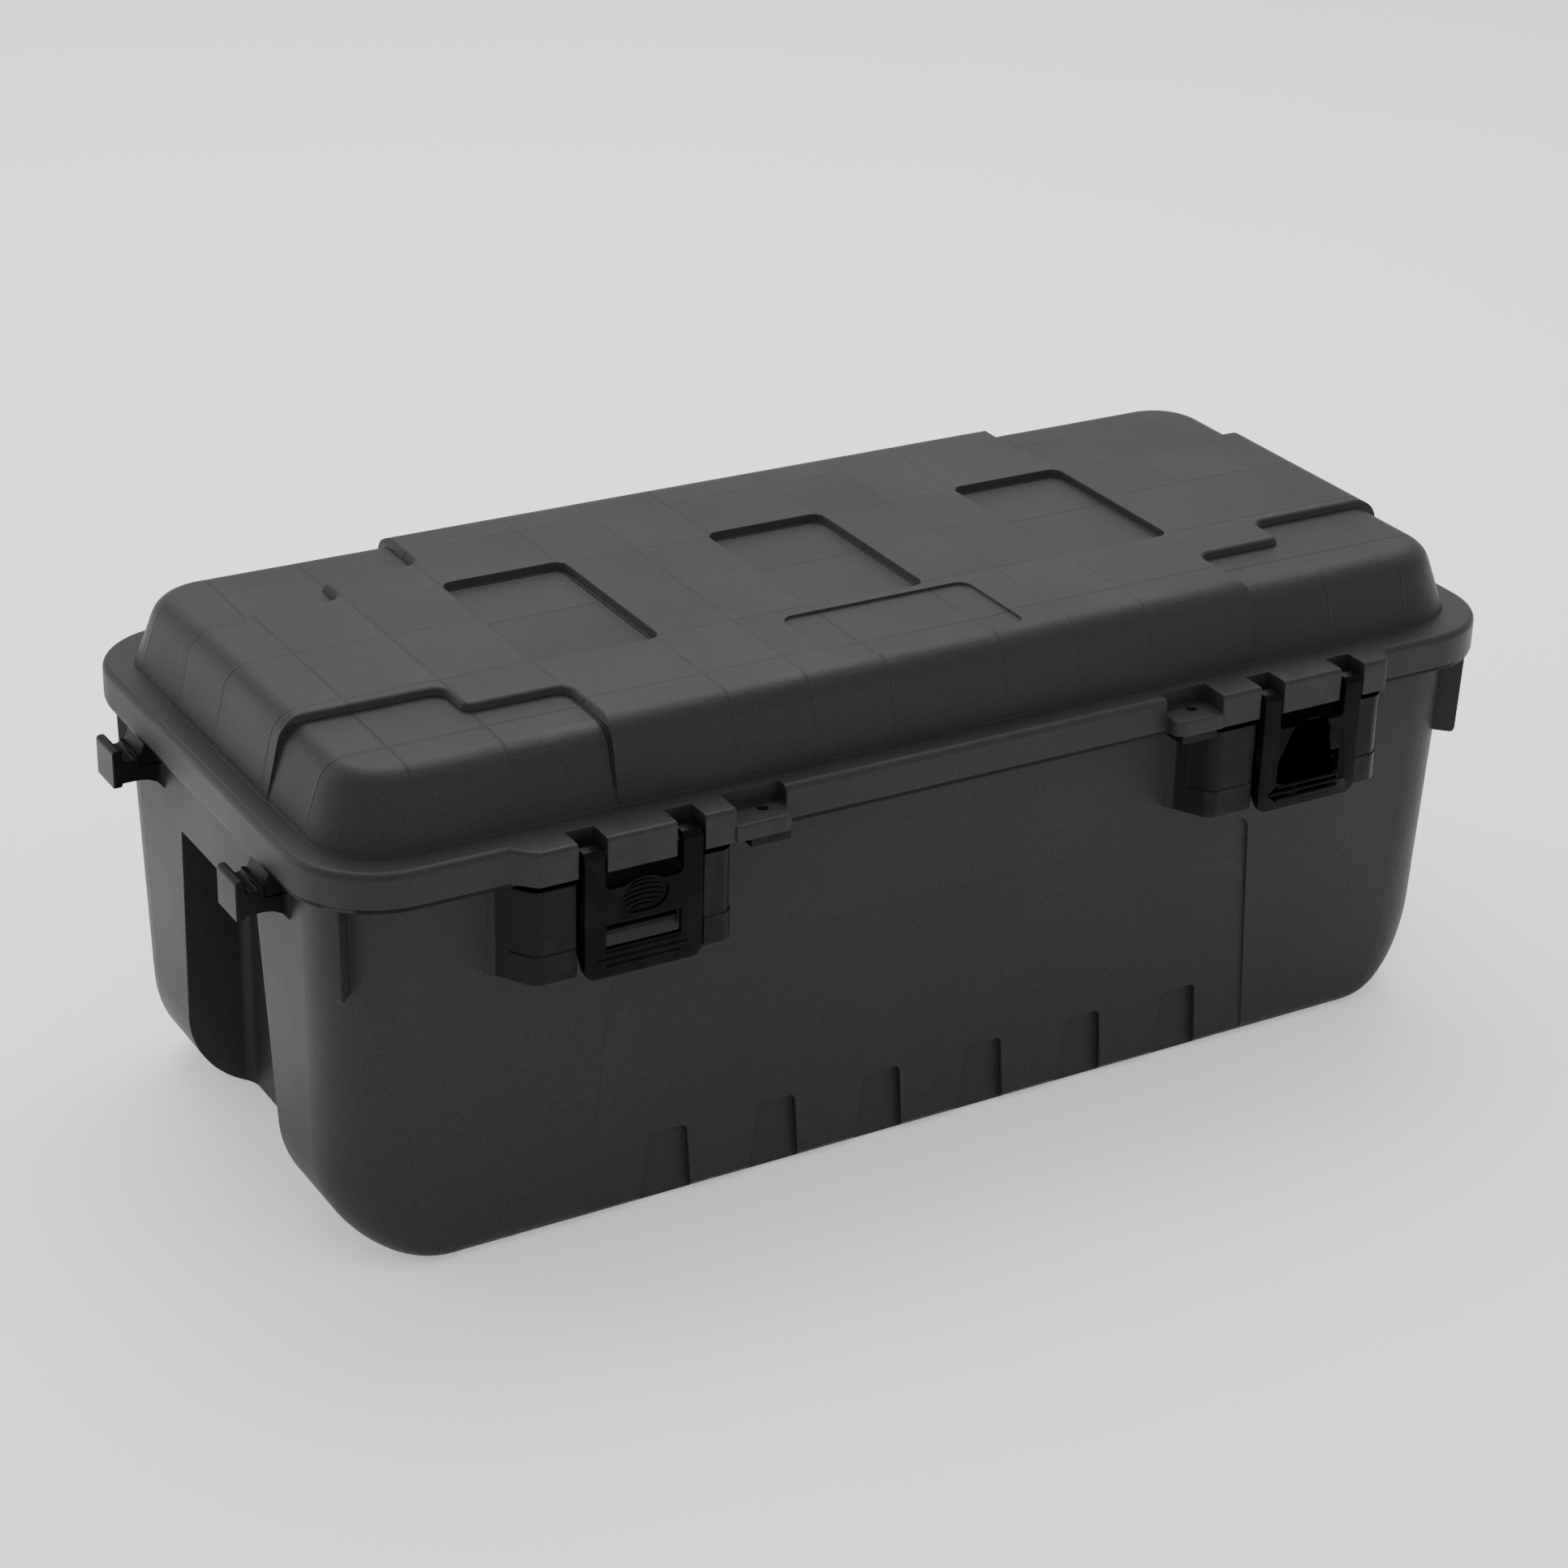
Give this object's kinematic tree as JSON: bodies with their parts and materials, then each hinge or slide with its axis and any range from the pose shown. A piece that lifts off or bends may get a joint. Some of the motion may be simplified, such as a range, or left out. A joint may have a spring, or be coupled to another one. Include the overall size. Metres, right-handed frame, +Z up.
{
  "type": "footlocker",
  "caption": "Moulded plastic footlocker with a domed hinged lid, over-centre front latches, padlock tabs, tie-down hooks and end channels.",
  "frame": {"origin": "middle of the base face that the trunk stands on, midway between its end walls and between its long walls", "axes": "+X along the length, -Y towards the latches, +Z up"},
  "size_m": [0.99, 0.4661, 0.372],
  "materials": {
    "tub_plastic": "fine-grained charcoal moulded polypropylene",
    "lid_plastic": "grained charcoal moulded polypropylene, smoother in the recesses",
    "latch_plastic": "glossy black moulded plastic",
    "pin_steel": "plain drawn steel rod"
  },
  "bodies": {
    "tub": {"tub": "tub_plastic", "hinge_pin_left": "pin_steel", "hinge_pin_right": "pin_steel"},
    "lid": {"lid": "lid_plastic", "latch_pin_left": "pin_steel", "latch_pin_right": "pin_steel"},
    "left_latch": {"latch_left": "latch_plastic"},
    "right_latch": {"latch_right": "latch_plastic"}
  },
  "joints": [
    {"name": "lid_hinge", "type": "hinge", "parent": "tub", "child": "lid", "pos_m": [0, 0.2255, 0.29], "axis": [-1, 0, 0], "range_deg": [0, 105]},
    {"name": "left_latch_pivot", "type": "hinge", "parent": "lid", "child": "left_latch", "pos_m": [-0.259, -0.222, 0.3005], "axis": [-1, 0, 0], "range_deg": [0, 140]},
    {"name": "right_latch_pivot", "type": "hinge", "parent": "lid", "child": "right_latch", "pos_m": [0.281, -0.222, 0.3005], "axis": [-1, 0, 0], "range_deg": [0, 140]}
  ]
}
